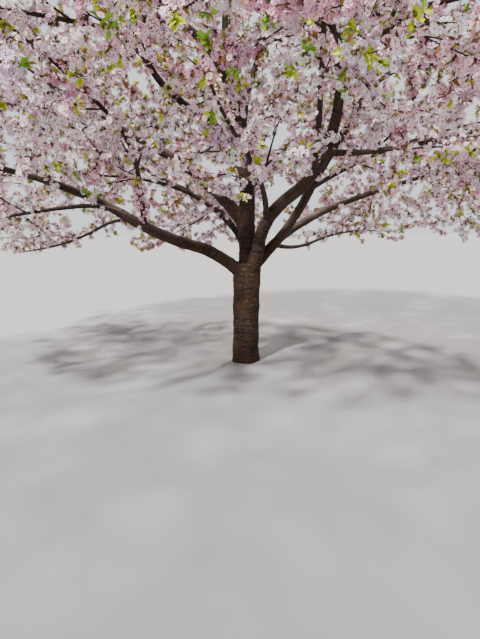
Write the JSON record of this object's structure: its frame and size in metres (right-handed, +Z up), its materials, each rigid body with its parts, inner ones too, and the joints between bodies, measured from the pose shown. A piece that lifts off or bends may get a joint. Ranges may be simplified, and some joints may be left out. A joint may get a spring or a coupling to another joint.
{
  "type": "cherry blossom tree",
  "caption": "Spreading ornamental cherry tree in full bloom: a short thick trunk forking low into long boughs, under a broad domed crown of pale pink blossom.",
  "frame": {"origin": "middle of the flat cut under the trunk, at ground level", "axes": "+Z up; -Y is the front, the side that the picture shows; +X is to the right in it"},
  "size_m": [8.1727, 7.7216, 6.1573],
  "materials": {
    "trunk_bark": "rough bark with fine level bands",
    "bough_bark": "rough weathered bark",
    "blossom": "soft matt petals"
  },
  "bodies": {
    "root": {"trunk": "trunk_bark", "leader": "bough_bark", "left_bough": "bough_bark", "front_right_bough": "bough_bark", "right_bough": "bough_bark", "right_low_bough": "bough_bark", "back_left_bough": "bough_bark", "back_bough": "bough_bark", "up_left_bough": "bough_bark", "high_left_bough": "bough_bark", "top_right_bough": "bough_bark", "top_left_bough": "bough_bark", "top_branch": "bough_bark", "high_back_bough": "bough_bark", "high_right_bough": "bough_bark", "left_near_branch": "bough_bark", "left_back_branch": "bough_bark", "left_rise_branch": "bough_bark", "high_left_side_branch": "bough_bark", "front_up_branch": "bough_bark", "front_side_branch": "bough_bark", "front_left_branch": "bough_bark", "front_over_branch": "bough_bark", "front_out_branch": "bough_bark", "right_out_branch": "bough_bark", "right_top_branch": "bough_bark", "right_side_branch": "bough_bark", "right_mid_branch": "bough_bark", "right_far_branch": "bough_bark", "back_left_side_branch": "bough_bark", "back_right_branch": "bough_bark", "back_low_branch": "bough_bark", "left_blossom": "blossom", "right_low_blossom": "blossom", "back_left_blossom": "blossom", "back_blossom": "blossom", "up_left_blossom": "blossom", "high_left_blossom": "blossom", "top_right_blossom": "blossom", "top_left_blossom": "blossom", "top_blossom": "blossom", "high_back_blossom": "blossom", "high_right_blossom": "blossom", "left_near_blossom": "blossom", "left_back_blossom": "blossom", "left_rise_blossom": "blossom", "high_left_side_blossom": "blossom", "front_up_blossom": "blossom", "front_side_blossom": "blossom", "front_left_blossom": "blossom", "front_over_blossom": "blossom", "front_out_blossom": "blossom", "right_out_blossom": "blossom", "right_top_blossom": "blossom", "right_side_blossom": "blossom", "right_mid_blossom": "blossom", "right_far_blossom": "blossom", "back_left_side_blossom": "blossom", "back_right_blossom": "blossom", "back_low_blossom": "blossom"}
  },
  "joints": []
}
